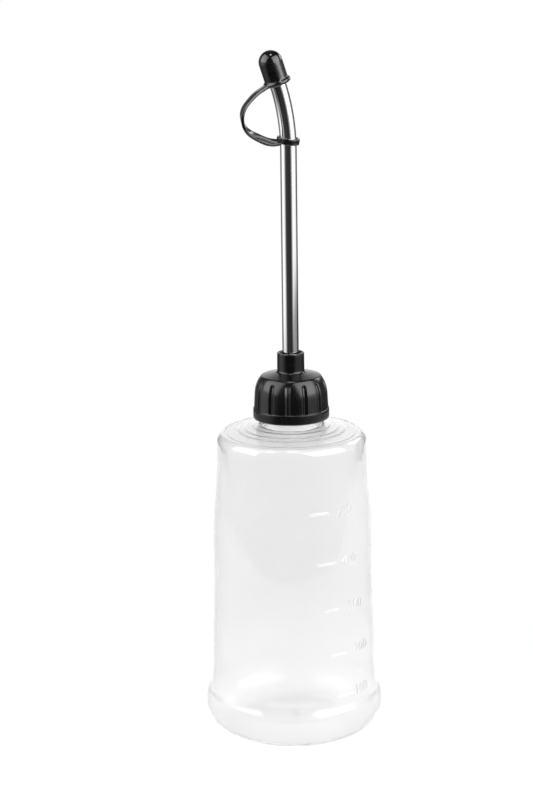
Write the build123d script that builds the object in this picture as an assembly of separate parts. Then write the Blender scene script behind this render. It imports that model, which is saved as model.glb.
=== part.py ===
from build123d import *

import os
from math import atan2, cos, degrees, radians, sin, tan

# A soft squeeze bottle for model-engine fuel, with a fluted screw cap, a bent metal spout and a tethered tip cap.
# Millimetres. +Z is up, and the origin is the centre of the ring that the bottle stands on.

# Bottle, blown in one piece
wall = 1.0
foot_radius = 44.0
foot_round = 12.0  # rounding under the foot
foot_inset = 3.8  # step in from the foot to the body
foot_blend_height = 18.0  # height of the S-shaped blend above the foot's widest line
stand_width = 4.0  # flat ring that the bottle stands on
push_up = 4.0  # rise of the base inside that ring
body_height = 116.5
body_top_radius = 36.7
shoulder_round = 4.6
shoulder_slope = 10.0  # degrees above level, towards the neck
shoulder_step_radii = (26.2, 23.2, 19.0)
shoulder_step_height = 0.4
bead_radius = 15.9  # plain collar under the cap
bead_height = 2.4
bead_round = 0.6
neck_radius = 13.9  # at the thread's root
neck_bore_radius = 12.3
neck_length = 16.2
rim_bevel = 0.4

# Screw cap, moulded in one piece
cap_gap = 0.6  # from the bottle's collar up to the cap
band_radius = 18.5
band_height = 4.8
band_bevel = 0.4
skirt_low_radius = 18.1
skirt_top_radius = 17.7
thread_room = 1.4  # radial room for the thread between neck and cap
flute_count = 13
flute_radius = 0.75
flute_foot = 0.25  # plain strip between the band and the flutes
flute_end = 0.7  # how far up the crown's curve the flutes run
flute_turn = -96.3  # degrees from +X to the flute nearest the front
crown_height = 8.8
crown_edge_radius = 14.5
crown_edge_round = 0.8
crown_thickness = 3.7  # from the cap's flat ceiling up to the crown's edge
crown_rise = 1.8  # from the crown's edge up to the boss
boss_base_radius = 6.65
boss_top_radius = 6.55
boss_height = 9.5
boss_fillet = 1.0
boss_bevel = 0.4
boss_mouth_radius = 5.7
boss_mouth_depth = 1.2

# Sealing ring between the neck's rim and the cap's ceiling
seal_thickness = 1.5
seal_hole_radius = 7.0
seal_overhang = 0.6  # past the neck's outside
seal_clearance = 0.3

# Spout tube
tube_radius = 4.0
tube_wall = 0.5
tube_fit = 0.05  # glue line in the boss
flange_radius = 6.0
flange_thickness = 0.6
flange_bend = 0.5
tube_straight = 97.5  # from the boss's top to the bend
bend_radius = 92.6
bend_angle = 19.5
bend_azimuth = 208.0  # degrees from +X to the side that the tip leans to

# Tip cap
tip_cap_radius = 5.85
tip_cap_length = 16.5
tip_bore_depth = 12.6
tip_fit = 0.1
tip_end_gap = 0.3
lip_radius = 6.85
lip_height = 2.4
lip_round = 1.0

# Tether: a ring round the tube and a flat strap to the tip cap
ring_height = 2.6
ring_wall = 1.1
ring_bevel = 0.4
ring_clearance = 0.35
ring_above_bend = 4.4
ring_tip_up = 5.0  # degrees that the strap's side of the ring is raised
ring_roll = 8.0  # degrees that the ring rolls about the strap
strap_width = 4.5
strap_thickness = 1.5
strap_root = 0.3  # depth of the strap's end in the ring
strap_reach = 24.6  # from the tube's axis to the outer turn of the loop
strap_upper_depth = 9.8  # from the tip cap's tab down to the loop's upper turn
strap_lower_height = 6.6  # from the ring up to the loop's lower turn
strap_lower_inset = 0.9
strap_lead = 5.2  # straight lead out of the tab
strap_trail = 7.8  # straight lead out of the ring
tab_length = 1.2  # stub of strap on the tip cap's lip
tab_root = 0.6  # depth of the tab's end in the tip cap's wall

# Heights that several pieces share
body_low_radius = foot_radius - foot_inset
body_low_z = foot_round + foot_blend_height
bend_plane = Plane(
    (0, 0, 0),
    x_dir=(cos(radians(bend_azimuth)), sin(radians(bend_azimuth)), 0),
    z_dir=(sin(radians(bend_azimuth)), -cos(radians(bend_azimuth)), 0),
)


def body_outline():
    """The bottle's outside from the middle of its base to the inner end of its shoulder's rounding."""
    stand_outer = foot_radius - foot_round
    base = TangentArc((0, push_up), (stand_outer - stand_width, 0), tangent=(1, 0))
    stand = Line(base @ 1, (stand_outer, 0))
    foot = TangentArc(stand @ 1, (foot_radius, foot_round), tangent=(1, 0))
    blend_middle = (foot_radius - foot_inset / 2, foot_round + foot_blend_height / 2)
    blend_out = TangentArc(foot @ 1, blend_middle, tangent=(0, 1))
    blend_in = TangentArc(blend_out @ 1, (body_low_radius, body_low_z), tangent=blend_out % 1)
    side = TangentArc(blend_in @ 1, (body_top_radius, body_low_z + body_height), tangent=(0, 1))
    lean = side % 1
    turn = 180 - shoulder_slope - degrees(atan2(lean.Y, lean.X))
    shoulder = JernArc(start=side @ 1, tangent=lean, radius=shoulder_round, arc_size=turn)
    return [base, stand, foot, blend_out, blend_in, side, shoulder]


shoulder_start = body_outline()[-1] @ 1


def shoulder_z(radius, steps):
    """Height of the shoulder's cone at a radius, raised by a number of steps."""
    cone = shoulder_start.Y + (shoulder_start.X - radius) * tan(radians(shoulder_slope))
    return cone + steps * shoulder_step_height


bead_top_z = shoulder_z(bead_radius, len(shoulder_step_radii)) + bead_height
rim_z = bead_top_z + neck_length
ceiling_z = rim_z + seal_thickness
cap_bottom_z = bead_top_z + cap_gap
crown_edge_z = ceiling_z + crown_thickness
boss_base_z = crown_edge_z + crown_rise
boss_top_z = boss_base_z + boss_height
bend_z = boss_top_z + tube_straight
cap_bore_radius = neck_radius + thread_room
seal_radius = neck_radius + seal_overhang
tip_straight = tip_bore_depth - tip_end_gap


def polygon(*points):
    return make_face(Polyline(*points, close=True))


def block(radius, low, high):
    """Half section of a cylinder on the axis."""
    return polygon((0, low), (radius, low), (radius, high), (0, high))


def round_corner(face, point, radius):
    return fillet(face.vertices().sort_by_distance(point)[0], radius)


def bevel_corner(face, point, length):
    return chamfer(face.vertices().sort_by_distance(point)[0], length)


def turned(section):
    """Solid turned about +Z from a half section drawn as radius and height."""
    return revolve(Plane.XZ * section, axis=Axis.Z)


def make_bottle():
    outline = body_outline()
    shoulder_middle = (0, shoulder_z(0, 0))
    closing = Polyline(outline[-1] @ 1, shoulder_middle, outline[0] @ 0)
    body = make_face(outline + closing.edges())

    inside = offset(body + mirror(body, about=Plane.YZ), amount=-wall, kind=Kind.INTERSECTION)
    inside &= Rectangle(2 * foot_radius, 2 * rim_z, align=(Align.MIN, Align.CENTER))

    for count, radius in enumerate(shoulder_step_radii, start=1):
        body += polygon(
            (0, shoulder_z(0, count - 1)),
            (radius, shoulder_z(radius, count - 1)),
            (radius, shoulder_z(radius, count)),
            (0, shoulder_z(0, count)),
        )
    collar = block(bead_radius, shoulder_z(bead_radius, 0), bead_top_z)
    body += round_corner(collar, (bead_radius, bead_top_z), bead_round)
    neck = block(neck_radius, bead_top_z - bead_height, rim_z)
    body += bevel_corner(neck, (neck_radius, rim_z), rim_bevel)

    bore = block(neck_bore_radius, shoulder_z(neck_bore_radius, 0) - 2 * wall, rim_z)
    return turned(body - inside - bore)


def make_screw_cap():
    band_top_z = cap_bottom_z + band_height
    crown_start_z = crown_edge_z - crown_height
    skirt = Line((skirt_low_radius, band_top_z), (skirt_top_radius, crown_start_z))
    crown = TangentArc(skirt @ 1, (crown_edge_radius, crown_edge_z), tangent=skirt % 1)
    top = Polyline(
        crown @ 1,
        (boss_base_radius, boss_base_z),
        (boss_top_radius, boss_top_z),
        (0, boss_top_z),
        (0, cap_bottom_z),
        (band_radius, cap_bottom_z),
        (band_radius, band_top_z),
        skirt @ 0,
    )
    section = make_face([skirt, crown] + top.edges())
    section = bevel_corner(section, (band_radius, cap_bottom_z), band_bevel)
    section = bevel_corner(section, (band_radius, band_top_z), band_bevel)
    section = round_corner(section, (crown_edge_radius, crown_edge_z), crown_edge_round)
    section = round_corner(section, (boss_base_radius, boss_base_z), boss_fillet)
    section = bevel_corner(section, (boss_top_radius, boss_top_z), boss_bevel)

    # The hollow narrows at its top, where the sealing ring lies under the ceiling
    seal_bore_radius = seal_radius + seal_clearance
    ledge_z = rim_z
    section -= polygon(
        (0, cap_bottom_z),
        (cap_bore_radius, cap_bottom_z),
        (cap_bore_radius, ledge_z - (cap_bore_radius - seal_bore_radius)),
        (seal_bore_radius, ledge_z),
        (seal_bore_radius, ceiling_z),
        (0, ceiling_z),
    )
    tube_hole_radius = tube_radius + tube_fit
    section -= block(tube_hole_radius, ceiling_z, boss_top_z)
    section -= polygon(
        (0, ceiling_z),
        (tube_hole_radius + flange_bend, ceiling_z),
        (tube_hole_radius, ceiling_z + flange_bend),
        (0, ceiling_z + flange_bend),
    )
    section -= polygon(
        (0, boss_top_z),
        (boss_mouth_radius, boss_top_z),
        (tube_hole_radius, boss_top_z - boss_mouth_depth),
        (0, boss_top_z - boss_mouth_depth),
    )
    cap = turned(section)

    # Each flute is a round-ended groove that follows the skirt and the curve of the crown
    flute_low = skirt @ (flute_foot / skirt.length)
    flute_line = Line(flute_low, skirt @ 1)
    flute_path = Plane.XZ * (flute_line + crown.trim(0, flute_end))
    flute = sweep(Plane(flute_path @ 0, z_dir=flute_path % 0) * Circle(flute_radius), path=flute_path)
    flute += Pos(flute_path @ 1) * Sphere(flute_radius)
    for place in PolarLocations(0, flute_count, start_angle=flute_turn):
        cap -= place * flute
    return cap


def make_cap_seal():
    ring = polygon(
        (seal_hole_radius, rim_z),
        (seal_radius, rim_z),
        (seal_radius, ceiling_z),
        (seal_hole_radius, ceiling_z),
    )
    return turned(ring)


def tube_path():
    """The spout's centre line, from the cap's ceiling to the tip, in the plane of its bend."""
    riser = Line((0, ceiling_z), (0, bend_z))
    bend = JernArc(start=riser @ 1, tangent=(0, 1), radius=bend_radius, arc_size=-bend_angle)
    tip = PolarLine(bend @ 1, tip_straight, angle=90 - bend_angle)
    return [riser, bend, tip]


def bend_point(angle):
    """Point on the bend's centre line, as reach from the straight tube's axis and height."""
    return (bend_radius * (1 - cos(radians(angle))), bend_z + bend_radius * sin(radians(angle)))


def tip_plane():
    """Plane of the tip cap's mouth: its normal runs out along the tip and its X points under the lean."""
    lean = radians(bend_angle)
    return Plane(
        bend_plane.from_local_coords(Vector(*bend_point(bend_angle))),
        x_dir=bend_plane.x_dir * cos(lean) - Vector(0, 0, sin(lean)),
        z_dir=bend_plane.x_dir * sin(lean) + Vector(0, 0, cos(lean)),
    )


def make_spout_tube():
    riser, bend, tip = tube_path()
    path = bend_plane * (riser + bend + tip)
    start = Plane((0, 0, ceiling_z))
    bore_radius = tube_radius - tube_wall
    flange_z = ceiling_z - flange_thickness
    flange = turned(block(flange_radius, flange_z, ceiling_z))
    flange += turned(
        polygon(
            (0, ceiling_z),
            (tube_radius + flange_bend, ceiling_z),
            (tube_radius, ceiling_z + flange_bend),
            (0, ceiling_z + flange_bend),
        )
    )
    tube = sweep(start * Circle(tube_radius), path=path) + flange
    tube -= sweep(start * Circle(bore_radius), path=path)
    return tube - turned(block(bore_radius, flange_z, ceiling_z))


def make_tip_cap():
    dome_z = tip_cap_length - tip_cap_radius
    side = Line((tip_cap_radius, 0), (tip_cap_radius, dome_z))
    dome = TangentArc(side @ 1, (0, tip_cap_length), tangent=(0, 1))
    closing = Polyline(dome @ 1, (0, 0), side @ 0)
    section = make_face([side, dome] + closing.edges())
    lip = block(lip_radius, 0, lip_height)
    for corner_z in (0, lip_height):
        lip = round_corner(lip, (lip_radius, corner_z), lip_round)
    section += lip
    section -= block(tube_radius + tip_fit, 0, tip_bore_depth)
    cap = turned(section)
    tab_start = tip_cap_radius - tab_root
    tab = Pos(tab_start, 0, lip_height / 2) * Box(
        lip_radius + tab_length - tab_start,
        strap_width,
        strap_thickness,
        align=(Align.MIN, Align.CENTER, Align.CENTER),
    )
    return tip_plane().location * (cap + tab)


def strap_route():
    """The strap's centre line in the plane of the bend, as reach and height, from the tab to the ring."""
    lean = radians(bend_angle)
    mouth_reach, mouth_z = bend_point(bend_angle)
    tab_end = lip_radius + tab_length
    first = (
        mouth_reach + tab_end * cos(lean) + lip_height / 2 * sin(lean),
        mouth_z - tab_end * sin(lean) + lip_height / 2 * cos(lean),
    )
    ring_reach, ring_z = ring_centre()
    root_reach = tube_radius + ring_clearance + strap_root
    root_z = ring_z + root_reach * sin(radians(ring_tip_up))
    return [
        first,
        (first[0] + strap_lead * cos(lean), first[1] - strap_lead * sin(lean)),
        (strap_reach, first[1] - strap_upper_depth),
        (strap_reach - strap_lower_inset, ring_z + strap_lower_height),
        (ring_reach + root_reach + strap_trail, root_z + strap_trail * sin(radians(ring_tip_up))),
        (ring_reach + root_reach, root_z),
    ]


def ring_centre():
    return bend_point(degrees(ring_above_bend / bend_radius))


def widest_radii(points):
    """The largest rounding that each corner of a route leaves room for."""
    radii = []
    for before, corner, after in zip(points, points[1:], points[2:]):
        run_in = Vector(*corner) - Vector(*before)
        run_out = Vector(*after) - Vector(*corner)
        half_turn = radians(run_in.get_angle(run_out)) / 2
        radii.append(0.45 * min(run_in.length, run_out.length) / tan(half_turn))
    return radii


def make_tether():
    inner = tube_radius + ring_clearance
    ring = polygon(
        (inner, -ring_height / 2),
        (inner + ring_wall, -ring_height / 2),
        (inner + ring_wall, ring_height / 2),
        (inner, ring_height / 2),
    )
    ring = chamfer(ring.vertices(), ring_bevel)
    reach, height = ring_centre()
    place = Pos(*bend_plane.from_local_coords(Vector(reach, height)))
    ring = place * Rot(0, 0, bend_azimuth) * Rot(-ring_roll, -ring_tip_up, 0) * turned(ring)

    route = strap_route()
    radii = widest_radii(route)
    path = bend_plane * FilletPolyline(*route, radius=radii)
    start = Plane(path @ 0, x_dir=bend_plane.z_dir, z_dir=path % 0)
    strap = sweep(start * Rectangle(strap_width, strap_thickness), path=path)
    print("strap length", round(path.length, 2), "bends", [round(r, 1) for r in radii])
    return ring + strap


nodes = {
    "bottle": make_bottle,
    "screw_cap": make_screw_cap,
    "cap_seal": make_cap_seal,
    "spout_tube": make_spout_tube,
    "tip_cap": make_tip_cap,
    "tether": make_tether,
}

os.makedirs("parts", exist_ok=True)
for name, make in nodes.items():
    shape = make()
    export_step(shape, f"parts/{name}.step")
    print(name, "volume", round(shape.volume, 1))
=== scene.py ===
# %% [markdown]
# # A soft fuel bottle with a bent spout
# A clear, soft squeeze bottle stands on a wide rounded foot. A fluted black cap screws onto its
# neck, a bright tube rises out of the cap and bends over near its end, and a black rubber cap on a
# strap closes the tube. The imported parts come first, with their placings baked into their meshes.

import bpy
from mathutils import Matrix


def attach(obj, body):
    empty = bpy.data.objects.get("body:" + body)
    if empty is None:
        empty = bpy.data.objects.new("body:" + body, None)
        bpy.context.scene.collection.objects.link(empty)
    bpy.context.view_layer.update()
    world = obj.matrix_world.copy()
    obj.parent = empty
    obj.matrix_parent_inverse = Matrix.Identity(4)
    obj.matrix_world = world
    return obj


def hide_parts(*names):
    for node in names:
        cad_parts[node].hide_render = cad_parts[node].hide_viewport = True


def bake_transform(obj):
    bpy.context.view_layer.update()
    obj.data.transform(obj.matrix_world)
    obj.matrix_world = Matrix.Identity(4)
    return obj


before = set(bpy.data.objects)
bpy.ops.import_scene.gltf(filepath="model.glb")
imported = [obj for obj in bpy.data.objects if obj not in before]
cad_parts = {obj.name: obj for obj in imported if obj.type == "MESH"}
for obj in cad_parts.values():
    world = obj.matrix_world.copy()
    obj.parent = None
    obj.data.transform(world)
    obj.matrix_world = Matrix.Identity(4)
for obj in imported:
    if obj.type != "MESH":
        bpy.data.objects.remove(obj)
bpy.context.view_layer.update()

# %% Tools for the lesson
from math import acos, asin, atan2, cos, degrees, hypot, pi, radians, sin, tan

import bpy
import bmesh
from mathutils import Matrix, Vector
from mathutils.bvhtree import BVHTree

MM = 0.001
print("Blender", bpy.app.version_string)

# %% [markdown]
# ## Camera
# The photograph looks down on the bottle by 14 degrees, from a little under a metre away. The
# camera could be placed by eye, but the bottle's foot, the cap's lower edge and the tip give three
# known heights, and those settle its distance, height and lens. A small roll follows the lean of
# the tube in the picture.

# %% Camera
camera_place = (-0.01195, -0.901, 0.391)
look_down, roll = 14.0, -0.8
bpy.ops.object.camera_add()
camera = bpy.context.object
camera.name = "photo_camera"
camera.data.lens = 86.0
camera.data.clip_start = 0.02
camera.matrix_world = (
    Matrix.Translation(camera_place)
    @ Matrix.Rotation(radians(90 - look_down), 4, "X")
    @ Matrix.Rotation(radians(roll), 4, "Z")
)
bpy.context.scene.camera = camera
bpy.context.scene.view_settings.view_transform = "Standard"
print("camera at", [round(v, 3) for v in camera.location])

# %% [markdown]
# ## Shader arithmetic
# Every finish below mixes noise, heights and masks. Adding each Math node by hand hides the idea,
# so one small class wraps a socket: ordinary arithmetic on it adds the Math nodes, and its node
# method adds everything else.


# %% Shader arithmetic
class Flow:
    """A value in a node tree. Arithmetic adds Math nodes, and node() adds any other node."""

    def __init__(self, tree, socket=None):
        self.tree = tree
        self.socket = socket

    def node(self, kind, settings=None, sockets=None, output=0):
        made = self.tree.nodes.new(kind)
        for name, value in (settings or {}).items():
            if name == "stops":
                ramp = made.color_ramp
                ramp.elements.remove(ramp.elements[1])
                ramp.elements[0].position, ramp.elements[0].color = value[0]
                for place, colour in value[1:]:
                    ramp.elements.new(place).color = colour
            else:
                setattr(made, name, value)
        for name, value in (sockets or {}).items():
            if isinstance(value, Flow):
                self.tree.links.new(value.socket, made.inputs[name])
            else:
                made.inputs[name].default_value = value
        return Flow(self.tree, made.outputs[output] if made.outputs else None)

    def maths(self, operation, first, second=0.0):
        return self.node("ShaderNodeMath", {"operation": operation}, {0: first, 1: second})

    def __add__(self, other):
        return self.maths("ADD", self, other)

    def __radd__(self, other):
        return self.maths("ADD", other, self)

    def __sub__(self, other):
        return self.maths("SUBTRACT", self, other)

    def __rsub__(self, other):
        return self.maths("SUBTRACT", other, self)

    def __mul__(self, other):
        return self.maths("MULTIPLY", self, other)

    def __rmul__(self, other):
        return self.maths("MULTIPLY", other, self)

    def between(self, low, high):
        """0 below low, 1 above high, and a smooth rise between."""
        settings = {"interpolation_type": "SMOOTHSTEP"}
        sockets = {"Value": self, "From Min": low, "From Max": high}
        return self.node("ShaderNodeMapRange", settings, sockets)

    def either(self, other):
        return self.maths("MAXIMUM", self, other)


print("shader arithmetic ready")

# %% [markdown]
# ## Finishes
# All finishes share their first and last steps. Noise is read on the piece's own coordinates, so
# that it moves with the piece, and it is squeezed along an axis where the real surface has a
# direction. A ramp turns it into a colour, and one Principled surface carries the rest.


# %% Finishes
EVEN = (1.0, 1.0, 1.0)


def new_finish(name):
    """An empty material and a Flow on its node tree."""
    material = bpy.data.materials.new(name)
    material.use_nodes = True
    material.node_tree.nodes.clear()
    return material, Flow(material.node_tree)


def grain(flow, stretch, scale, detail=2.0):
    """Noise on the piece's own coordinates, squeezed or stretched along each axis."""
    place = flow.node("ShaderNodeTexCoord", output=3)
    place = flow.node(
        "ShaderNodeMapping", {"vector_type": "POINT"}, {"Vector": place, "Scale": stretch}
    )
    sockets = {"Vector": place, "Scale": scale, "Detail": detail}
    return flow.node("ShaderNodeTexNoise", {}, sockets)


def tones(flow, value, *stops):
    """Colour that follows a value; each stop is a place and a colour."""
    stops = [(place, (*colour, 1)) for place, colour in stops]
    return flow.node("ShaderNodeValToRGB", {"stops": stops}, {"Fac": value})


def relief(flow, height, strength, distance):
    """Normals that follow a height."""
    sockets = {"Strength": strength, "Distance": distance, "Height": height}
    return flow.node("ShaderNodeBump", {}, sockets)


def cover(flow, sockets):
    """One Principled surface as the whole of a material."""
    surface = flow.node("ShaderNodeBsdfPrincipled", {}, sockets)
    flow.node("ShaderNodeOutputMaterial", {}, {"Surface": surface})


def dress(piece, material):
    """Give a piece one material in place of any other."""
    piece.data.materials.clear()
    piece.data.materials.append(material)


print("finishes ready")

# %% [markdown]
# ## Studio
# The bottle was photographed on white between two large softboxes, with the dark side of the room
# behind the camera. Clear plastic and bright metal show their surroundings, so the room matters:
# the camera, and light that has passed through the hazy bottle, see plain white, while reflections
# see white sides and a dark front.

# %% Room
mirrored_strength = 1.12
ceiling_low, ceiling_high, ceiling_dark = 0.30, 0.75, 0.9
room_walls = [
    # degrees to the right of the camera's side, and brightness
    (-180, 1.0), (-166, 1.0), (-158, 0.16), (-114, 0.18), (-103, 1.0), (-72, 1.0), (-44, 0.04),
    (22, 0.02), (37, 0.28), (50, 1.0), (97, 0.95), (114, 0.12), (156, 0.10), (166, 1.0), (180, 1.0),
]
world = bpy.data.worlds.new("studio")
bpy.context.scene.world = world
world.use_nodes = True
world.node_tree.nodes.clear()
room = Flow(world.node_tree)


def seen_plainly(flow):
    """1 for the camera and for light that has passed the bottle, 0 for a plain reflection."""
    camera_ray = flow.node("ShaderNodeLightPath", output="Is Camera Ray")
    walls_passed = flow.node("ShaderNodeLightPath", output="Transmission Depth")
    return camera_ray.either(walls_passed.between(0.4, 0.6))


def room_tone(flow, direction):
    """Brightness of the room by compass direction, darker towards the ceiling."""
    x, y, z = (
        flow.node("ShaderNodeSeparateXYZ", {}, {0: direction}, output=axis) for axis in "XYZ"
    )
    turns = flow.maths("ARCTAN2", x, 0 - y) * (1 / (2 * pi))
    stops = [(0.5 + azimuth / 360, (tone, tone, tone)) for azimuth, tone in room_walls]
    tone = tones(flow, turns + 0.5, *stops)
    return tone * (1 - z.between(ceiling_low, ceiling_high) * ceiling_dark)


direction = room.node("ShaderNodeTexCoord", output=0)
sockets = {"Color": room_tone(room, direction), "Strength": mirrored_strength}
walls = room.node("ShaderNodeBackground", {}, sockets)
white = room.node("ShaderNodeBackground", {}, {"Color": (1, 1, 1, 1), "Strength": 1.0})
mixed = room.node("ShaderNodeMixShader", {}, {0: seen_plainly(room), 1: walls, 2: white})
room.node("ShaderNodeOutputWorld", {}, {"Surface": mixed})
print("room has", len(world.node_tree.nodes), "nodes")


# %% Softboxes
def softbox(name, azimuth, elevation, distance, width, height, radiance):
    """An area lamp that faces the bottle; azimuth runs from the camera's side towards +X."""
    a, e = radians(azimuth), radians(elevation)
    away = Vector((sin(a) * cos(e), -cos(a) * cos(e), sin(e)))
    bpy.ops.object.light_add(type="AREA", location=aimed_at + away * distance)
    lamp = bpy.context.object
    lamp.name = name
    lamp.rotation_euler = away.to_track_quat("Z", "Y").to_euler()
    lamp.data.shape = "RECTANGLE"
    lamp.data.size, lamp.data.size_y = width, height
    lamp.data.energy = radiance * pi * width * height


aimed_at = Vector((0, 0, 0.18))
softbox("left_softbox", -75, 36, 0.85, 0.94, 0.84, 3.0)
softbox("right_softbox", 57, 33, 0.85, 0.96, 0.92, 4.0)
softbox("side_window", 133, 27, 1.0, 0.36, 0.36, 4.0)
softbox("top_lamp", 0, 80, 1.1, 0.22, 0.22, 11.0)

# %% [markdown]
# ## Table
# To the camera the table is white, with a little real paint in the mix near the bottle, so that
# the foot keeps its soft shadow. Tube and cap mirror the table too, because the camera looks down
# on them. There it shows the tones of the room: bright close by, dim further out, bright again
# where the walls begin, and with a dim patch at the left, which gives the bend its grey band. These
# tones depend only on the place on the table.

# %% Table
near_white, paint_start, paint_end = 0.80, 0.06, 0.20
walls_start, walls_end, walls_lean, dim_share = 0.62, 0.82, 0.42, 0.25
bright_near, bright_start, bright_end, front_cut = 0.9, 0.57, 0.64, 0.25
patch_dark = 0.6
bpy.ops.mesh.primitive_plane_add(size=8.0)
floor = bpy.context.object
floor.name = "floor"
material, flow = new_finish("white_table")
place = flow.node("ShaderNodeTexCoord", output=3)
x, y = (flow.node("ShaderNodeSeparateXYZ", {}, {0: place}, output=axis) for axis in "XY")
distance = flow.node("ShaderNodeVectorMath", {"operation": "LENGTH"}, {0: place}, output=1)
painted = flow.node("ShaderNodeBsdfDiffuse", {}, {"Color": (0.86, 0.86, 0.86, 1)})
glow = flow.node("ShaderNodeEmission", {}, {"Color": (1, 1, 1, 1), "Strength": 1.0})
white_share = near_white + distance.between(paint_start, paint_end) * (1 - near_white)
shadowed = flow.node("ShaderNodeMixShader", {}, {0: white_share, 1: painted, 2: glow})
print("table's own look ready")

# %% Table in reflections
# all ranges are in metres
beyond = (distance - x * walls_lean).between(walls_start, walls_end)
in_front = (0 - y).between(0.0, 0.3)
close_by = 1 - (distance + in_front * front_cut).between(bright_start, bright_end)
left_side = (0 - x).between(0.15, 0.35) * (1 - distance.between(0.62, 1.05))
near_left = distance.between(0.42, 0.50) * (1 - y.between(0.12, 0.25))
patch = left_side * near_left.either(distance.between(0.56, 0.64))
tone = room_tone(flow, place) * (dim_share + beyond * (1 - dim_share))
tone = tone.either(close_by * bright_near) * (1 - patch * patch_dark)
mirrored = flow.node("ShaderNodeEmission", {}, {"Color": tone, "Strength": mirrored_strength})
bounced = flow.node("ShaderNodeLightPath", output="Glossy Depth").between(0.4, 0.6)
other = flow.node("ShaderNodeMixShader", {}, {0: bounced, 1: painted, 2: mirrored})
table = flow.node("ShaderNodeMixShader", {}, {0: seen_plainly(flow), 1: other, 2: shadowed})
flow.node("ShaderNodeOutputMaterial", {}, {"Surface": table})
dress(floor, material)
print("floor", [round(v, 1) for v in floor.dimensions])

# %% [markdown]
# ## Turning a piece
# Bottle, caps and ring are all round, as they come off a lathe or out of a round mould. A vertex
# extruded along half of the outline and spun about the upright axis gives such a shape with even
# columns of faces, and every edge of the real piece is a row that can be rounded as finely as it
# needs.


# %% Parts of an outline
def arc(centre, radius, start, stop, steps):
    """Points along an arc of a half outline, in degrees from outwards to up, less the last."""
    turns = [radians(start + (stop - start) * i / steps) for i in range(steps)]
    return [(centre[0] + radius * cos(t), centre[1] + radius * sin(t)) for t in turns]


def run(start, stop, steps):
    """Points along a straight stretch of a half outline, less the last."""
    shares = [i / steps for i in range(steps)]
    (r0, z0), (r1, z1) = start, stop
    return [(r0 + (r1 - r0) * s, z0 + (z1 - z0) * s) for s in shares]


def corner(start, bend, stop, steps):
    """Points round a soft corner of a half outline, less the last."""
    shares = [i / steps for i in range(steps)]
    sides = list(zip(start, bend, stop))
    return [
        tuple((1 - t) ** 2 * a + 2 * t * (1 - t) * b + t * t * c for a, b, c in sides)
        for t in shares
    ]


print("arcs, runs and corners ready")


# %% Spinning an outline
def weld_and_face_out():
    """Weld the doubled points of the active piece and turn its faces outwards."""
    bpy.ops.object.mode_set(mode="EDIT")
    bpy.ops.mesh.select_all(action="SELECT")
    bpy.ops.mesh.remove_doubles(threshold=0.002 * MM)
    bpy.ops.mesh.normals_make_consistent(inside=False)
    bpy.ops.object.mode_set(mode="OBJECT")


def turned(name, outline, columns):
    """Extrude one vertex along a half outline in millimetres, then spin it round."""
    bpy.ops.mesh.primitive_plane_add(size=MM)
    piece = bpy.context.object
    piece.name = name
    bpy.ops.object.mode_set(mode="EDIT")
    bpy.ops.mesh.select_all(action="SELECT")
    bpy.ops.mesh.merge(type="CENTER")
    bpy.ops.transform.translate(value=(outline[0][0] * MM, 0, outline[0][1] * MM))
    for before, after in zip(outline, outline[1:]):
        step = ((after[0] - before[0]) * MM, 0, (after[1] - before[1]) * MM)
        bpy.ops.mesh.extrude_vertices_move(TRANSFORM_OT_translate={"value": step})
    bpy.ops.mesh.select_all(action="SELECT")
    bpy.ops.mesh.spin(steps=columns, angle=2 * pi, center=(0, 0, 0), axis=(0, 0, 1))
    weld_and_face_out()
    bpy.ops.object.shade_smooth()
    print(name, len(piece.data.vertices), "vertices")
    return piece


def pick(*pieces):
    """Select these pieces alone; the last one becomes active."""
    bpy.ops.object.select_all(action="DESELECT")
    for piece in pieces:
        piece.select_set(True)
    bpy.context.view_layer.objects.active = pieces[-1]


print("spinning ready")

# %% [markdown]
# ## Bottle
# The real bottle is blown: a tube of soft plastic swells against a mould, so its wall is one even
# skin and every edge is round. Inside and outside are drawn as one half outline, because light
# bends at both faces of a clear wall, and a single skin would look like a solid block of glass. The
# shoulder has a fine crease at its rim and carries three shallow steps.

# %% Sizes of the bottle
wall = 1.0
foot_radius, foot_round = 44.0, 12.0
stand_outer, stand_inner, push_up = 32.0, 28.0, 4.0
body_low, body_top, body_low_z, body_top_z = 40.2, 36.7, 30.0, 146.5
side_low_z = 33.0
shoulder_round, shoulder_slope = 4.6, 10.0
step_height, step_half, step_radii = 0.3, 0.5, (26.2, 23.2, 19.0)
crease_depth, crease_low, crease_end = 0.22, 0.5, 1.4
row_width, shoulder_rows = 0.25, 66
collar_radius, collar_top, collar_round = 15.9, 157.353, 0.6
neck_radius, bore_radius, rim_z, rim_round = 13.9, 12.3, 173.553, 0.4
flare_corners = [
    # start, bend and end of each soft corner as radius and height, and its steps
    ((foot_radius, foot_round), (foot_radius, 16.8), (42.45, 19.4), 9),
    ((42.45, 19.4), (41.6, 20.8), (41.2, 23.2), 7),
    ((41.2, 23.2), (40.6, 27.0), (body_low, side_low_z), 8),
]

flare = [point for soft_corner in flare_corners for point in corner(*soft_corner)]
base_arc = (stand_inner**2 + push_up**2) / (2 * push_up)
taper = body_low - body_top
side_arc = (taper**2 + (body_top_z - body_low_z) ** 2) / (2 * taper)
side_start = degrees(asin((side_low_z - body_low_z) / side_arc))
side_turn = degrees(asin((body_top_z - body_low_z) / side_arc))
shoulder_centre = (
    body_top - shoulder_round * cos(radians(side_turn)),
    body_top_z - shoulder_round * sin(radians(side_turn)),
)
print("the base is pushed up on an arc of", base_arc, "mm, the side bows on", round(side_arc), "mm")


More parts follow.
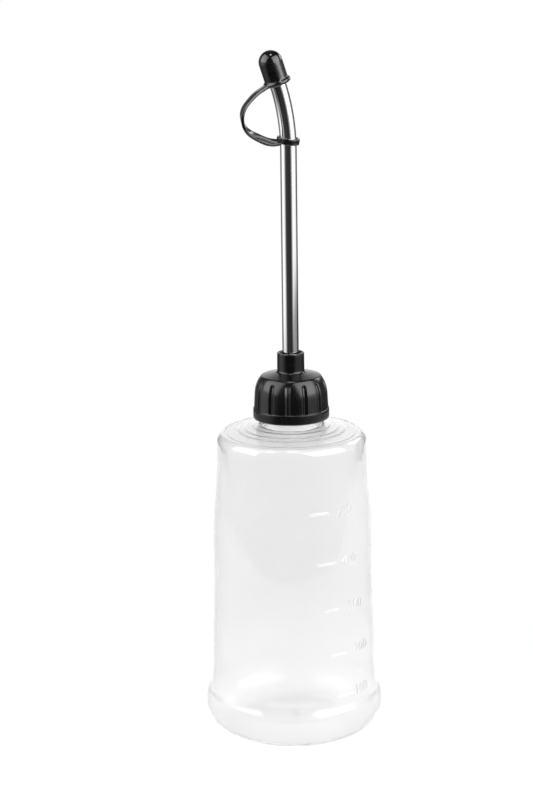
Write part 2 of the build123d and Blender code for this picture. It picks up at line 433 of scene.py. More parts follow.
# %% Lines of the bottle
def body_line(inset):
    """The body from the middle of its base to its shoulder, moved into the wall by an inset."""
    base_end = degrees(acos(stand_inner / base_arc))
    line = arc((0, push_up - base_arc), base_arc + inset, 90, base_end, 10)
    line += run((stand_inner, inset), (stand_outer, inset), 3)
    line += arc((stand_outer, foot_round), foot_round - inset, -90, 0, 16)
    line += [(radius - inset, height) for radius, height in flare]
    line += arc((body_low - side_arc, body_low_z), side_arc - inset, side_start, side_turn, 46)
    line += arc(shoulder_centre, shoulder_round - inset, side_turn, 90 - shoulder_slope, 16)
    return line


def shoulder_end(inset):
    """Where the round of the shoulder ends, moved into the wall by an inset."""
    turn = radians(90 - shoulder_slope)
    radius = shoulder_round - inset
    return (shoulder_centre[0] + radius * cos(turn), shoulder_centre[1] + radius * sin(turn))


def cone_z(radius):
    """Height of the plain shoulder at a radius."""
    edge, height = shoulder_end(0)
    return height + (edge - radius) * tan(radians(shoulder_slope))


def rise(value, low, high):
    """0 below low, 1 above high, and a smooth rise between."""
    share = min(max((value - low) / (high - low), 0), 1)
    return share * share * (3 - 2 * share)


def shoulder_z(radius):
    """Height of the outside of the shoulder at a radius, with its crease and three soft steps."""
    height = cone_z(radius)
    inwards = shoulder_end(0)[0] - radius
    crease = rise(inwards, 0, crease_low) * (1 - rise(inwards, crease_low, crease_end))
    height -= crease_depth * crease
    for step in step_radii:
        height += step_height * (1 - rise(radius, step - step_half, step + step_half))
    return height


print("shoulder climbs to", round(shoulder_z(collar_radius), 2), "mm at the collar")

# %% Outline of the bottle
shoulder_radii = [shoulder_end(0)[0] - row_width * i for i in range(shoulder_rows)]
outside = body_line(0) + [(r, shoulder_z(r)) for r in shoulder_radii]
collar_foot = shoulder_z(collar_radius)
outside += [
    (collar_radius + 0.35, shoulder_z(collar_radius + 0.35)),
    (collar_radius + 0.12, collar_foot + 0.12),
    (collar_radius, collar_foot + 0.4),
]
outside += arc((collar_radius - collar_round, collar_top - collar_round), collar_round, 0, 90, 6)
outside += arc((neck_radius + rim_round, collar_top + rim_round), rim_round, 270, 180, 4)
outside += run((neck_radius, collar_top + rim_round), (neck_radius, rim_z - rim_round), 10)
outside += arc((neck_radius - rim_round, rim_z - rim_round), rim_round, 0, 90, 4)
outside += arc((bore_radius + rim_round, rim_z - rim_round), rim_round, 90, 180, 4)

bore_foot = cone_z(bore_radius) - wall / cos(radians(shoulder_slope))
inside = run((bore_radius, rim_z - rim_round), (bore_radius, bore_foot + 0.5), 8)
inside += [
    (bore_radius, bore_foot + 0.5),
    (bore_radius + 0.15, bore_foot + 0.12),
    (bore_radius + 0.5, bore_foot - 0.16),
]
ceiling_start = (bore_radius + 1.2, bore_foot - 1.2 * tan(radians(shoulder_slope)))
inside += run(ceiling_start, shoulder_end(wall), 12) + [shoulder_end(wall)]
bottle_outline = outside + inside + body_line(wall)[::-1]
print("outline of", len(bottle_outline), "points, foot", foot_radius, "mm, rim at", rim_z, "mm")

# %% Spin the bottle
bottle = turned("bottle_shell", bottle_outline, 240)

# %% [markdown]
# ## Soft dents
# A squeezed bottle never springs back quite round. In the photograph its front is a little
# flattened under the shoulder, with a soft crease down the left of that flat. Proportional editing
# does what a thumb does: one vertex is pushed in, and its neighbours, on both faces of the wall,
# follow with a smooth fall-off. The crease is a row of such places, pulled out instead.

# %% Soft dents
dents = [
    # degrees to the right of the front, height, depth and reach in millimetres
    (-2, 126, 1.3, 40),
    (-19, 148, 0.8, 6),
    (-13, 149, 0.4, 4),
    (64, 149, 0.4, 6),
    (90, 132, 0.8, 30),
    (-90, 132, 0.8, 30),
    (95, 74, 0.7, 30),
    (-95, 74, 0.6, 30),
    (190, 116, 0.9, 40),
    (30, 52, 0.3, 26),
]
crease = [(-27 + 1.2 * i, 147 - 4.5 * i, -0.34 + 0.03 * i, 5.0) for i in range(11)]
well_outside = 60


def push(piece, azimuth, height, depth, reach):
    """Push the wall in towards the axis at one place, with all that lies within reach."""
    way = Vector((sin(radians(azimuth)), -cos(radians(azimuth)), 0))
    bpy.ops.mesh.select_all(action="DESELECT")
    shape = bmesh.from_edit_mesh(piece.data)
    spot = way * well_outside * MM + Vector((0, 0, height * MM))
    nearest = min(shape.verts, key=lambda v: (v.co - spot).length_squared)
    nearest.select = True
    bmesh.update_edit_mesh(piece.data)
    bpy.ops.transform.translate(
        value=way * -depth * MM,
        use_proportional_edit=True,
        proportional_edit_falloff="SMOOTH",
        proportional_size=reach * MM,
    )


bpy.ops.object.mode_set(mode="EDIT")
for dent in dents + crease:
    push(bottle, *dent)
bpy.ops.object.mode_set(mode="OBJECT")
size = [round(v, 4) for v in bottle.dimensions]
print("pushed", len(dents + crease), "places; bottle is", size)

# %% [markdown]
# ## Mould line
# The two halves of the mould leave a fine raised line down two opposite sides of the bottle. It is
# one column of the outer face on each side, moved out along its normals by less than a tenth of a
# millimetre.

# %% Mould line
seam_azimuth, seam_stand, seam_low, seam_high = 15.0, 0.07, 14, 147
bpy.ops.object.mode_set(mode="EDIT")
bpy.ops.mesh.select_all(action="DESELECT")
shape = bmesh.from_edit_mesh(bottle.data)
for vertex in shape.verts:
    turn = degrees(atan2(vertex.co.x, -vertex.co.y)) - seam_azimuth
    outer_face = vertex.normal.x * vertex.co.x + vertex.normal.y * vertex.co.y > 0
    on_body = seam_low * MM < vertex.co.z < seam_high * MM and outer_face
    vertex.select = on_body and abs(sin(radians(turn))) < 0.004
bmesh.update_edit_mesh(bottle.data)
bpy.ops.transform.shrink_fatten(value=seam_stand * MM)
bpy.ops.object.mode_set(mode="OBJECT")
print("mould line at", seam_azimuth, "degrees")

# %% [markdown]
# ## Volume scale
# Five raised ticks with their plain numbers climb the right of the front. Each is made flat, as a
# bar and a text, and then laid round the wall point by point, so that it follows both the taper and
# the dents of the body.

# %% Sizes of the scale
scale_marks = [
    # number, height, start of tick and of number in degrees to the right, length of the tick
    ("100", 26.2, 29.6, 46.0, 9.6),
    ("200", 47.6, 25.7, 46.5, 9.2),
    ("300", 70.6, 20.5, 40.8, 9.0),
    ("400", 94.0, 15.4, 35.2, 11.2),
    ("500", 118.8, 11.0, 32.0, 11.0),
]
mark_stand, tick_height, tick_round, number_size = 0.35, 1.7, 0.34, 7.0
wrap_radius = body_top + 3.0
wall_faces = BVHTree.FromPolygons(
    [v.co for v in bottle.data.vertices], [tuple(p.vertices) for p in bottle.data.polygons]
)
print("scale of", len(scale_marks), "marks standing", mark_stand, "mm proud")


# %% Tick, number and wrapping
def scale_tick(name, length):
    """A bar with rounded edges, lying along X and centred on the mark's height."""
    bpy.ops.mesh.primitive_cube_add(size=1.0)
    bar = bpy.context.object
    bar.name = name
    bar.scale = (length * MM, 2 * mark_stand * MM, tick_height * MM)
    bar.location = (length * MM / 2, 0, 0)
    bpy.ops.object.transform_apply(location=True, rotation=True, scale=True)
    bpy.ops.object.mode_set(mode="EDIT")
    bpy.ops.mesh.select_all(action="SELECT")
    bpy.ops.mesh.bevel(offset=tick_round * MM, segments=2, affect="EDGES")
    for share in (0.15, 0.3, 0.45, 0.6, 0.75, 0.9):
        bpy.ops.mesh.select_all(action="SELECT")
        bpy.ops.mesh.bisect(plane_co=(length * MM * share, 0, 0), plane_no=(1, 0, 0))
    bpy.ops.object.mode_set(mode="OBJECT")
    return bar


def scale_number(name, text):
    """A raised number standing on X and Z, centred on the mark's height."""
    bpy.ops.object.text_add(rotation=(pi / 2, 0, 0))
    number = bpy.context.object
    number.name = name
    number.data.body = text
    number.data.align_y = "CENTER"
    number.data.size = number_size * MM
    number.data.extrude = mark_stand * MM
    number.data.resolution_u = 4
    bpy.ops.object.convert(target="MESH")
    bpy.ops.object.transform_apply(location=True, rotation=True, scale=True)
    bpy.ops.object.mode_set(mode="EDIT")
    bpy.ops.mesh.select_all(action="SELECT")
    bpy.ops.mesh.remove_doubles(threshold=0.01 * MM)
    bpy.ops.mesh.quads_convert_to_tris()
    bpy.ops.mesh.normals_make_consistent(inside=False)
    bpy.ops.object.mode_set(mode="OBJECT")
    return bpy.context.object


def lay_on_wall(piece, azimuth, height):
    """Wrap a flat piece, drawn on X and Z with Y towards the wall, round the bottle."""
    for vertex in piece.data.vertices:
        x, y, z = vertex.co
        turn = radians(azimuth) + x / (wrap_radius * MM)
        out = Vector((sin(turn), -cos(turn), 0))
        start = out * (well_outside * MM) + Vector((0, 0, z + height * MM))
        hit = wall_faces.ray_cast(start, -out)[0]
        vertex.co = hit - out * y
    piece.data.update()


print("tick, number and wrapping ready")

# %% Volume scale
raised = []
for text, height, tick_start, number_start, tick_length in scale_marks:
    tick = scale_tick("tick_" + text, tick_length)
    lay_on_wall(tick, tick_start, height)
    number = scale_number("number_" + text, text)
    lay_on_wall(number, number_start, height)
    raised += [tick, number]
    print(text, "tick at", height, "mm, number", [round(v / MM, 1) for v in number.dimensions])

# %% [markdown]
# ## Neck thread
# The cap winds down on a rounded ridge that goes twice round the neck and rises 4.2 mm a turn. A
# section turned by a Screw modifier climbs as it goes round. Both ends of a moulded thread fade
# into the neck, so the ridge is lowered there.

# %% Neck thread
thread_pitch, thread_turns, thread_start, thread_width, fade_turns = 4.2, 2, 161.4, 1.9, 0.14


def thread_ridge(name, root, crest, start_z):
    """A helical ridge from a root radius to a crest radius; the crest may lie inwards."""
    bpy.ops.mesh.primitive_circle_add(vertices=10, radius=0.5, rotation=(pi / 2, 0, 0))
    ridge = bpy.context.object
    ridge.name = name
    ridge.scale = (2 * (crest - root) * MM, thread_width * MM, 1)
    ridge.location = (root * MM, 0, start_z * MM)
    bpy.ops.object.transform_apply(location=True, rotation=True, scale=True)
    screw = ridge.modifiers.new("thread", "SCREW")
    screw.angle = 2 * pi
    screw.screw_offset = thread_pitch * MM
    screw.iterations = thread_turns
    screw.steps = screw.render_steps = 72
    bpy.ops.object.modifier_apply(modifier=screw.name)
    for vertex in ridge.data.vertices:
        height = vertex.co.z / MM - start_z
        turn = (atan2(vertex.co.y, vertex.co.x) / (2 * pi)) % 1.0
        along = turn + round(height / thread_pitch - turn)
        fade = min(max(min(along, thread_turns - along) / fade_turns, 0), 1)
        radius = hypot(vertex.co.x, vertex.co.y)
        middle = start_z * MM + along * thread_pitch * MM
        kept = root * MM + (radius - root * MM) * (0.12 + 0.88 * fade)
        vertex.co.x *= kept / radius
        vertex.co.y *= kept / radius
        vertex.co.z = middle + (vertex.co.z - middle) * (0.4 + 0.6 * fade)
    bpy.ops.object.mode_set(mode="EDIT")
    bpy.ops.mesh.select_all(action="DESELECT")
    bpy.ops.mesh.select_non_manifold()
    bpy.ops.mesh.fill_holes(sides=0)
    bpy.ops.mesh.select_all(action="SELECT")
    bpy.ops.mesh.normals_make_consistent(inside=False)
    bpy.ops.object.mode_set(mode="OBJECT")
    bpy.ops.object.shade_smooth()
    print(name, len(ridge.data.vertices), "vertices, from", start_z, "mm")
    return ridge


neck_thread = thread_ridge("neck_thread", neck_radius - 0.1, 14.95, thread_start)

# %% [markdown]
# ## Pinch line under the base
# Where the mould closes on the soft tube it leaves a welded bar under the base, in line with the
# mould lines. It lies in the pushed-up middle, clear of whatever the bottle stands on.

# %% Pinch line
pinch_length, pinch_width, pinch_height, pinch_z = 14, 0.8, 0.6, 3.9
bpy.ops.mesh.primitive_cube_add(size=1.0)
pinch = bpy.context.object
pinch.name = "pinch_line"
pinch.scale = (pinch_length * MM, pinch_width * MM, pinch_height * MM)
pinch.location = (0, 0, pinch_z * MM)
pinch.rotation_euler = (0, 0, radians(seam_azimuth - 90))
bpy.ops.object.transform_apply(location=True, rotation=True, scale=True)
bpy.ops.object.mode_set(mode="EDIT")
bpy.ops.mesh.select_all(action="SELECT")
bpy.ops.mesh.bevel(offset=pinch_height / 2 * MM, segments=2, affect="EDGES")
bpy.ops.object.mode_set(mode="OBJECT")
raised += [neck_thread, pinch]
print("pinch line", [round(v / MM, 1) for v in pinch.dimensions])

# %% [markdown]
# ## One clear skin
# Scale, thread and pinch line are the same plastic as the wall. Left as separate bodies inside it,
# each would bend the light a second time, so a Boolean union melts them into the wall. How far each
# point of the scale stands off the plain wall is kept as an attribute, which the clear plastic uses
# to paint shade on the scale's flanks and a painted highlight on its tops.

# %% One clear skin
scale_low, scale_high = 20, 125
pick(*reversed(raised))
bpy.ops.object.join()
joined = bpy.context.object
pick(bottle)
union = bottle.modifiers.new("melt", "BOOLEAN")
union.operation = "UNION"
union.solver = "EXACT"
union.object = joined
bpy.ops.object.modifier_apply(modifier=union.name)
bpy.data.objects.remove(joined)
bpy.ops.object.shade_smooth_by_angle(angle=radians(38))
shape = bmesh.new()
shape.from_mesh(bottle.data)
open_edges = sum(not edge.is_manifold for edge in shape.edges)
shape.free()
stand_off = bottle.data.attributes.new("mark", "FLOAT", "POINT")
for vertex, value in zip(bottle.data.vertices, stand_off.data):
    if scale_low * MM < vertex.co.z < scale_high * MM:
        gap = wall_faces.find_nearest(vertex.co)[3]
        value.value = min(gap / (mark_stand * MM), 1.0)
print("clear skin", len(bottle.data.polygons), "faces,", open_edges, "open edges")

# %% [markdown]
# ## Clear plastic
# Soft plastic this thin lets nearly all light through. It is a little hazy, its gloss is uneven,
# and the blowing leaves faint upright streaks. The scale's flanks carry painted shade, darker than
# the wall, and its tops a painted highlight, lighter than the wall. Lamps would stop at a glass
# shader, so light on its way to a lamp passes straight through, and the inside and the table stay
# bright.

# %% Clear plastic
clear_plastic, flow = new_finish("clear_soft_plastic")
streaks = grain(flow, (1.0, 1.0, 0.06), 160.0)
ripples = grain(flow, (1.0, 1.0, 0.5), 45.0)
haze = grain(flow, EVEN, 30.0, 3.0)
mark = flow.node("ShaderNodeAttribute", {"attribute_name": "mark"}, output="Fac")
# painted shade on the scale's flanks and a painted highlight on its tops, read from the mark
# attribute
wall_tone = (0.05, (0.84, 0.84, 0.845))
flank_painted_shade = (0.45, (0.55, 0.55, 0.56))
top_painted_highlight = (0.9, (1.0, 1.0, 1.0))
surface = flow.node(
    "ShaderNodeBsdfPrincipled",
    {},
    {
        "Base Color": tones(flow, mark, wall_tone, flank_painted_shade, top_painted_highlight),
        "Roughness": 0.18 + haze.between(0.35, 0.7) * 0.07,
        "IOR": 1.25,
        "Transmission Weight": 0.95,
        "Coat Weight": 0.8,
        "Coat Roughness": 0.04,
        "Normal": relief(flow, streaks * 0.4 + ripples, 0.10, 0.0006),
    },
)
passing = flow.node("ShaderNodeBsdfTransparent", {}, {"Color": (0.92, 0.92, 0.92, 1)})
shadow_ray = flow.node("ShaderNodeLightPath", output="Is Shadow Ray")
whole = flow.node("ShaderNodeMixShader", {}, {0: shadow_ray, 1: surface, 2: passing})
flow.node("ShaderNodeOutputMaterial", {}, {"Surface": whole})
dress(bottle, clear_plastic)
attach(bottle, "bottle")
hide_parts("bottle")
print("clear plastic on", bottle.name)

# %% [markdown]
# ## Screw cap
# The cap is moulded in black plastic: a plain band below, a skirt with thirteen grip flutes, a
# curved crown and a boss that holds the tube. Everything round is turned first. The flutes are then
# painted as weights on every thirteenth part of the skirt, and a Displace modifier sinks them along
# the surface.

# %% Sizes of the cap
cap_bottom, band_top, band_radius, band_round, ledge_round = 157.953, 162.753, 18.5, 0.4, 0.3
skirt_low, skirt_top, skirt_fillet = 18.1, 17.7, 0.2
crown_start, crown_edge_z, crown_edge, edge_cut, edge_turn_back = 169.953, 178.753, 14.5, 0.7, 3.0
boss_base_z, boss_top_z, boss_base, boss_top = 180.553, 190.053, 6.65, 6.55
boss_fillet, boss_round, boss_mouth, mouth_depth = 1.0, 0.4, 5.7, 1.2
ceiling_z, cap_bore, bore_edge, seal_bore = 175.053, 15.3, 0.5, 14.8
tube_radius, tube_hole = 4.0, 4.05

skirt_lean = degrees(atan2(skirt_low - skirt_top, crown_start - band_top))
inward = (-cos(radians(skirt_lean)), -sin(radians(skirt_lean)))
chord = (crown_edge - skirt_top, crown_edge_z - crown_start)
chord_inward = chord[0] * inward[0] + chord[1] * inward[1]
crown_arc = (chord[0] ** 2 + chord[1] ** 2) / (2 * chord_inward)
crown_centre = (skirt_top + crown_arc * inward[0], crown_start + crown_arc * inward[1])
crown_turn = degrees(atan2(crown_edge_z - crown_centre[1], crown_edge - crown_centre[0]))
crown_slope = tan(atan2(boss_base_z - crown_edge_z, crown_edge - boss_base))
print("crown arc", round(crown_arc, 2), "mm")

# %% Outline of the cap
arc_end = crown_turn - edge_turn_back
edge_start = arc(crown_centre, crown_arc, arc_end, arc_end, 1)[0]
edge_stop = (crown_edge - edge_cut, crown_edge_z + edge_cut * crown_slope)
fillet_start = (boss_base + boss_fillet, boss_base_z - boss_fillet * crown_slope)
fillet_stop = (boss_base - 0.01, boss_base_z + boss_fillet)
skirt_foot = (skirt_low, band_top + skirt_fillet)

inner = run((tube_hole, ceiling_z), (seal_bore, ceiling_z), 4)
inner += run((seal_bore, ceiling_z), (seal_bore, rim_z), 2)
inner += run((seal_bore, rim_z), (cap_bore, rim_z - bore_edge), 2)
inner += run((cap_bore, rim_z - bore_edge), (cap_bore, cap_bottom + bore_edge), 8)
inner += [(cap_bore, cap_bottom + bore_edge), (cap_bore + 0.4, cap_bottom)]

skirt = run((cap_bore + 0.6, cap_bottom), (band_radius - band_round, cap_bottom), 2)
skirt += arc((band_radius - band_round, cap_bottom + band_round), band_round, -90, 0, 5)
skirt += run((band_radius, cap_bottom + band_round), (band_radius, band_top - ledge_round), 4)
skirt += arc((band_radius - ledge_round, band_top - ledge_round), ledge_round, 0, 90, 4)
skirt += corner((skirt_low + skirt_fillet, band_top), (skirt_low, band_top), skirt_foot, 3)
skirt += run(skirt_foot, (skirt_top, crown_start), 18)

crown = arc(crown_centre, crown_arc, skirt_lean, arc_end, 30)
crown += corner(edge_start, (crown_edge, crown_edge_z), edge_stop, 6)
crown += run(edge_stop, fillet_start, 8)

boss = corner(fillet_start, (boss_base, boss_base_z), fillet_stop, 6)
boss += run(fillet_stop, (boss_top, boss_top_z - boss_round), 8)
boss += arc((boss_top - boss_round, boss_top_z - boss_round), boss_round, 0, 90, 5)
boss += [(boss_top - boss_round, boss_top_z), (boss_mouth + 0.08, boss_top_z)]
boss += [(boss_mouth - 0.1, boss_top_z - 0.1)]
boss += run((boss_mouth - 0.3, boss_top_z - 0.3), (tube_hole, boss_top_z - mouth_depth), 3)
boss += run((tube_hole, boss_top_z - mouth_depth), (tube_hole, ceiling_z), 4)

cap_outline = inner + skirt + crown + boss + [(tube_hole, ceiling_z)]
print("cap outline of", len(cap_outline), "points")

# %% Spin the cap
flute_count, flute_turn = 13, -96.3
cap = turned("cap_shell", cap_outline, flute_count * 36)
cap.rotation_euler = (0, 0, radians(flute_turn))
bpy.ops.object.transform_apply(location=False, rotation=True, scale=False)
print("cap", [round(v / MM, 1) for v in cap.dimensions])

# %% Sink the flutes
flute_top, flute_sink, flute_half, flute_flank = 175.8, 0.85, 1.30, 0.95
flute_share = 360 / flute_count


def flute_depth(across, height):
    """Share of the full depth at a distance across a flute and a height, in millimetres."""
    past_end = max(height - flute_top, 0) * 1.1
    return min(max((flute_half - hypot(across, past_end)) / flute_flank, 0), 1)


flutes = cap.vertex_groups.new(name="flutes")
for vertex in cap.data.vertices:
    radius = hypot(vertex.co.x, vertex.co.y) / MM
    height = vertex.co.z / MM
    faces_out = vertex.normal.x * vertex.co.x + vertex.normal.y * vertex.co.y > 0
    if height > band_top + 0.15 and radius > crown_edge - 0.3 and faces_out:
        turn = (degrees(atan2(vertex.co.y, vertex.co.x)) - flute_turn) % flute_share
        turn = min(turn, flute_share - turn)
        depth = flute_depth(radians(turn) * radius, height)
        if depth > 0.001:
            flutes.add([vertex.index], depth, "REPLACE")
sink = cap.modifiers.new("sink", "DISPLACE")
sink.vertex_group = "flutes"
sink.direction = "NORMAL"
sink.mid_level = 0.0
sink.strength = -flute_sink * MM
bpy.ops.object.modifier_apply(modifier=sink.name)
print("cap with", flute_count, "flutes")

# %% Thread in the cap
cap_thread = thread_ridge("cap_thread", cap_bore + 0.1, 14.5, thread_start + thread_pitch / 2)
pick(cap_thread, cap)
bpy.ops.object.join()
bpy.ops.object.shade_smooth_by_angle(angle=radians(50))
print("cap and thread,", len(cap.data.polygons), "faces")

# %% [markdown]
# ## Black satin plastic
# The mould of such a cap is finely etched, so it reflects the softboxes as broad, soft patches. A
# fine grain in the bump breaks the reflection up, and a slow change in roughness keeps it from
# looking even.

# %% Black satin plastic
satin_black, flow = new_finish("black_satin_plastic")
etched = grain(flow, EVEN, 2600.0)
handled = grain(flow, EVEN, 90.0, 3.0)
cover(
    flow,
    {
        "Base Color": tones(
            flow, handled, (0.3, (0.002, 0.002, 0.0022)), (0.7, (0.0035, 0.0035, 0.0035))
        ),
        "Roughness": 0.20 + handled.between(0.3, 0.7) * 0.06,
        "IOR": 1.5,
        "Normal": relief(flow, etched, 0.12, 0.00012),
    },
)
dress(cap, satin_black)
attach(cap, "cap")
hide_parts("screw_cap")
print("satin black on", cap.name)

# %% [markdown]
# ## Spout tube
# The spout is a length of bright tube, bent once. A ring of vertices is extruded up the straight,
# spun about the centre of the bend and extruded out along the tip, which is what a tube bender
# does. A Solidify modifier then gives the skin its half-millimetre wall, so that the open end looks
# right with the tip cap off.

# %% Sizes of the tube
bend_z, bend_radius, bend_angle, bend_azimuth = 287.553, 92.6, 19.5, 208.0
tip_straight, tube_wall, end_round, flange_radius = 12.3, 0.5, 0.12, 6.0
straight_rows, bend_rows, tip_rows = 12, 24, 3
flange_z = ceiling_z - 0.3
flange_rows = [
    # radius and height, from the flange into the tube
    (5.2, flange_z),
    (4.4, ceiling_z - 0.2),
    (4.1, ceiling_z + 0.1),
    (tube_radius, ceiling_z + 0.5),
]
up = Vector((0, 0, 1))
lean_way = Vector((cos(radians(bend_azimuth)), sin(radians(bend_azimuth)), 0))
tip_way = lean_way * sin(radians(bend_angle)) + Vector((0, 0, cos(radians(bend_angle))))
print("tip leans", bend_angle, "degrees towards", [round(v, 2) for v in lean_way])

# %% Spout tube
bpy.ops.mesh.primitive_circle_add(
    vertices=64, radius=flange_radius * MM, location=(0, 0, flange_z * MM)
)
tube = bpy.context.object
tube.name = "spout_tube_bright"
bpy.ops.object.transform_apply(location=True, rotation=True, scale=True)
bpy.ops.object.mode_set(mode="EDIT")
bpy.ops.mesh.select_all(action="SELECT")
for radius, height in flange_rows:
    shape = bmesh.from_edit_mesh(tube.data)
    rim = next(v.co.copy() for v in shape.verts if v.select)
    climb = (0, 0, height * MM - rim.z)
    bpy.ops.mesh.extrude_region_move(TRANSFORM_OT_translate={"value": climb})
    factor = radius * MM / hypot(rim.x, rim.y)
    bpy.ops.transform.resize(value=(factor, factor, 1), center_override=(0, 0, 0))
climb = (0, 0, (bend_z - flange_rows[-1][1]) * MM / straight_rows)
for row in range(straight_rows):
    bpy.ops.mesh.extrude_region_move(TRANSFORM_OT_translate={"value": climb})
bpy.ops.mesh.spin(
    steps=bend_rows,
    angle=radians(bend_angle),
    center=lean_way * bend_radius * MM + Vector((0, 0, bend_z * MM)),
    axis=lean_way.cross(up),
)
climb = tip_way * tip_straight * MM / tip_rows
for row in range(tip_rows):
    bpy.ops.mesh.extrude_region_move(TRANSFORM_OT_translate={"value": climb})
weld_and_face_out()
print("tube skin", len(tube.data.polygons), "faces")

# %% Wall of the tube
thicken = tube.modifiers.new("wall", "SOLIDIFY")
thicken.thickness = tube_wall * MM
thicken.offset = -1.0
bpy.ops.object.modifier_apply(modifier=thicken.name)
soften = tube.modifiers.new("soften", "BEVEL")
soften.width = end_round * MM
soften.segments = 2
soften.limit_method = "ANGLE"
soften.angle_limit = radians(50)
bpy.ops.object.modifier_apply(modifier=soften.name)
bpy.ops.object.shade_smooth_by_angle(angle=radians(40))
tube_top = max(v.co.z for v in tube.data.vertices)
print("tube", len(tube.data.polygons), "faces, top at", round(tube_top / MM, 2), "mm")

# %% [markdown]
# ## Bright tube metal
# The tube is polished, with fine lines drawn along it. The lines are noise stretched a hundred
# times along the tube; they only roughen the gloss a little, so the softboxes still show as clean
# white bands.

# %% Bright tube metal
bright_metal, flow = new_finish("bright_drawn_metal")
drawn = grain(flow, (1.0, 1.0, 0.01), 3200.0)
breath = grain(flow, (1.0, 1.0, 0.3), 120.0, 3.0)
cover(
    flow,
    {
        "Base Color": tones(flow, breath, (0.3, (0.88, 0.875, 0.875)), (0.7, (0.94, 0.94, 0.95))),
        "Metallic": 1.0,
        "Roughness": 0.07 + drawn * 0.05 + breath * 0.04,
        "Normal": relief(flow, drawn, 0.04, 0.00005),
    },
)
dress(tube, bright_metal)
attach(tube, "cap")
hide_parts("spout_tube")
print("bright metal on", tube.name)

# %% [markdown]
# ## Tip cap
# A rubber thimble with a rolled bead at its mouth closes the tube. It is turned upright at the
# origin and then set on the tip of the tube with one matrix, whose Z runs along the tip.

# %% Tip cap
tip_radius, tip_length, lip_radius, lip_height = 5.65, 16.4, 6.60, 2.4
tip_bore, bore_depth, bore_round = 4.1, 12.6, 0.4
lip_bulge = lip_height / 2
dome_z = tip_length - tip_radius
neck_start = (tip_radius, lip_height + 0.35)
neck_bend = (tip_radius, lip_height - 0.05)
neck_end = (tip_radius + 0.3, lip_height - 0.16)

tip_outline = arc((0, dome_z), tip_radius, 90, 0, 22)
tip_outline += run((tip_radius, dome_z), neck_start, 8)
tip_outline += corner(neck_start, neck_bend, neck_end, 3)
tip_outline += arc((lip_radius - lip_bulge, lip_bulge), lip_bulge, 60, -90, 14)
tip_outline += [(lip_radius - lip_bulge, 0), (tip_bore + 0.45, 0.05), (tip_bore + 0.12, 0.18)]
tip_outline += run((tip_bore, 0.45), (tip_bore, bore_depth - bore_round), 6)
tip_outline += arc((tip_bore - bore_round, bore_depth - bore_round), bore_round, 0, 90, 4)
tip_outline += [(tip_bore - bore_round, bore_depth), (0, bore_depth)]
tip_cap = turned("tip_cap_rubber", tip_outline, 96)


# %% Set the tip cap on the tube
def on_bend(turn):
    """Point on the middle line of the bend, in millimetres, at a turn in radians."""
    reach = bend_radius * (1 - cos(turn))
    return lean_way * reach + Vector((0, 0, bend_z + bend_radius * sin(turn)))


mouth = on_bend(radians(bend_angle)) * MM
under_way = lean_way * cos(radians(bend_angle)) - Vector((0, 0, sin(radians(bend_angle))))
side_way = tip_way.cross(under_way)
along_tip = Matrix((under_way, side_way, tip_way)).transposed().to_4x4()
tip_cap.matrix_world = Matrix.Translation(mouth) @ along_tip
bpy.ops.object.transform_apply(location=True, rotation=True, scale=True)
bpy.ops.object.shade_smooth_by_angle(angle=radians(50))
print("tip cap top at", round(max(v.co.z for v in tip_cap.data.vertices) / MM, 2), "mm")

# %% [markdown]
# ## Tether
# A ring round the tube and a flat strap keep the tip cap from being lost. The strap is drawn as a
# smooth curve with a flat, round-edged section, because a curve can also be tilted: the real strap
# is twisted, edge-on at the left and showing its upper face near the ring. The real strap bends
# when the tip cap moves. Here it is a piece of its own, joined to no body.

# %% Tether ring
ring_inner, ring_outer, ring_half = 4.3, 5.5, 1.5
outer_round, inner_round = 0.55, 0.3
ring_along, ring_tip_sideways, ring_tip_forward = 4.4, -8, -5
outer_middle, outer_z = ring_outer - outer_round, ring_half - outer_round
inner_middle, inner_z = ring_inner + inner_round, ring_half - inner_round
ring_outline = arc((outer_middle, outer_z), outer_round, 0, 90, 6)
ring_outline += arc((inner_middle, inner_z), inner_round, 90, 180, 4)
ring_outline += arc((inner_middle, -inner_z), inner_round, 180, 270, 4)
ring_outline += arc((outer_middle, -outer_z), outer_round, 270, 360, 6)
ring_outline.append(ring_outline[0])
ring = turned("tether_ring", ring_outline, 72)
ring_centre = on_bend(ring_along / bend_radius)
ring.matrix_world = (
    Matrix.Translation(ring_centre * MM)
    @ Matrix.Rotation(radians(bend_azimuth), 4, "Z")
    @ Matrix.Rotation(radians(ring_tip_sideways), 4, "X")
    @ Matrix.Rotation(radians(ring_tip_forward), 4, "Y")
)
bpy.ops.object.transform_apply(location=True, rotation=True, scale=True)
print("tether ring at", [round(v, 2) for v in ring_centre])

# %% Line of the strap
strap_points = [
    # reach from the tube's axis towards the lean, height, and tilt of the flat in degrees
    (10.6, 317.8, 0),
    (13.0, 316.6, 0),
    (17.8, 314.0, 4),
    (24.9, 306.8, 10),
    (23.4, 298.0, 34),
    (14.0, 293.0, 50),
    (8.6, 291.2, 40),
    (4.9, 291.4, 20),
]
bpy.ops.curve.primitive_nurbs_path_add()
strap = bpy.context.object
strap.name = "tether_strap"
line = strap.data.splines[0]
line.points.add(len(strap_points) - len(line.points))
for point, (reach, height, tilt) in zip(line.points, strap_points):
    place = (lean_way * reach + Vector((0, 0, height))) * MM
    point.co = (*place, 1.0)
    point.tilt = radians(tilt)
    point.radius = 1.0
line.order_u = 3
line.use_endpoint_u = True
line.resolution_u = 14
strap.data.twist_mode = "MINIMUM"
print("strap's line through", len(line.points), "points")

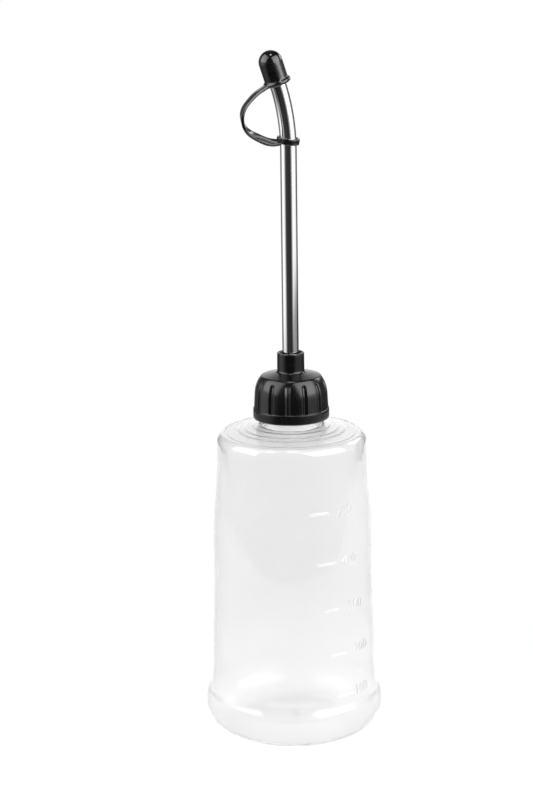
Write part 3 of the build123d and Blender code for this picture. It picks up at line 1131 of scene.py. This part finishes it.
# %% Section of the strap
half_width, half_thick, edge_round = 2.25 * MM, 0.75 * MM, 0.35 * MM
bpy.ops.curve.primitive_bezier_circle_add()
section = bpy.context.object
section.name = "strap_section"
section.data.splines.clear()
outline = section.data.splines.new("POLY")
flat = []
for sx, sy in ((-1, -1), (1, -1), (1, 1), (-1, 1)):
    start = degrees(atan2(sy, sx)) - 45
    for i in range(5):
        t = radians(start + 90 * i / 4)
        x = sx * (half_width - edge_round) + edge_round * cos(t)
        flat.append((x, sy * (half_thick - edge_round) + edge_round * sin(t)))
outline.points.add(len(flat) - 1)
for point, (x, y) in zip(outline.points, flat):
    point.co = (x, y, 0, 1)
outline.use_cyclic_u = True
section.data.dimensions = "2D"
print("strap's section of", len(flat), "points")

# %% Strap as a mesh
strap.data.bevel_mode = "OBJECT"
strap.data.bevel_object = section
strap.data.use_fill_caps = True
pick(strap)
bpy.ops.object.convert(target="MESH")
strap = bpy.context.object
bpy.data.objects.remove(section)
weld_and_face_out()
bpy.ops.object.transform_apply(location=True, rotation=True, scale=True)
bpy.ops.object.shade_smooth_by_angle(angle=radians(50))
print("strap", len(strap.data.polygons), "faces", [round(v / MM, 1) for v in strap.dimensions])

# %% [markdown]
# ## Black rubber
# The rubber is smoother and glossier than the cap's plastic: the softboxes show in it as clear
# patches. It is nearly black, with a soft bloom in places, and slight waves in its skin.

# %% Black rubber
soft_rubber, flow = new_finish("soft_black_rubber")
bloom = grain(flow, EVEN, 260.0, 3.0)
waves = grain(flow, EVEN, 420.0, 1.0)
cover(
    flow,
    {
        "Base Color": tones(
            flow, bloom, (0.35, (0.003, 0.003, 0.003)), (0.75, (0.006, 0.006, 0.0065))
        ),
        "Roughness": 0.13 + bloom.between(0.3, 0.75) * 0.08,
        "IOR": 1.6,
        "Normal": relief(flow, waves, 0.12, 0.0003),
    },
)
for piece in (tip_cap, ring, strap):
    dress(piece, soft_rubber)
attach(tip_cap, "tip")
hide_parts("tip_cap")
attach(ring, "cap")
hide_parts("tether")
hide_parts("tether")
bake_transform(strap)
print("black rubber on three pieces")

# %% [markdown]
# ## Sealing ring
# The flat ring between the neck and the cap is right as it was cut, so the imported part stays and
# only gets its finish: a pale grey rubber with a fine, matt grain.

# %% Sealing ring
seal_rubber, flow = new_finish("pale_seal_rubber")
speck = grain(flow, EVEN, 1800.0)
cloud = grain(flow, EVEN, 140.0)
cover(
    flow,
    {
        "Base Color": tones(flow, cloud, (0.3, (0.27, 0.27, 0.27)), (0.7, (0.34, 0.34, 0.33))),
        "Roughness": 0.6 + speck * 0.2,
        "Normal": relief(flow, speck, 0.2, 0.0001),
    },
)
dress(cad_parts["cap_seal"], seal_rubber)
print("seal finished")
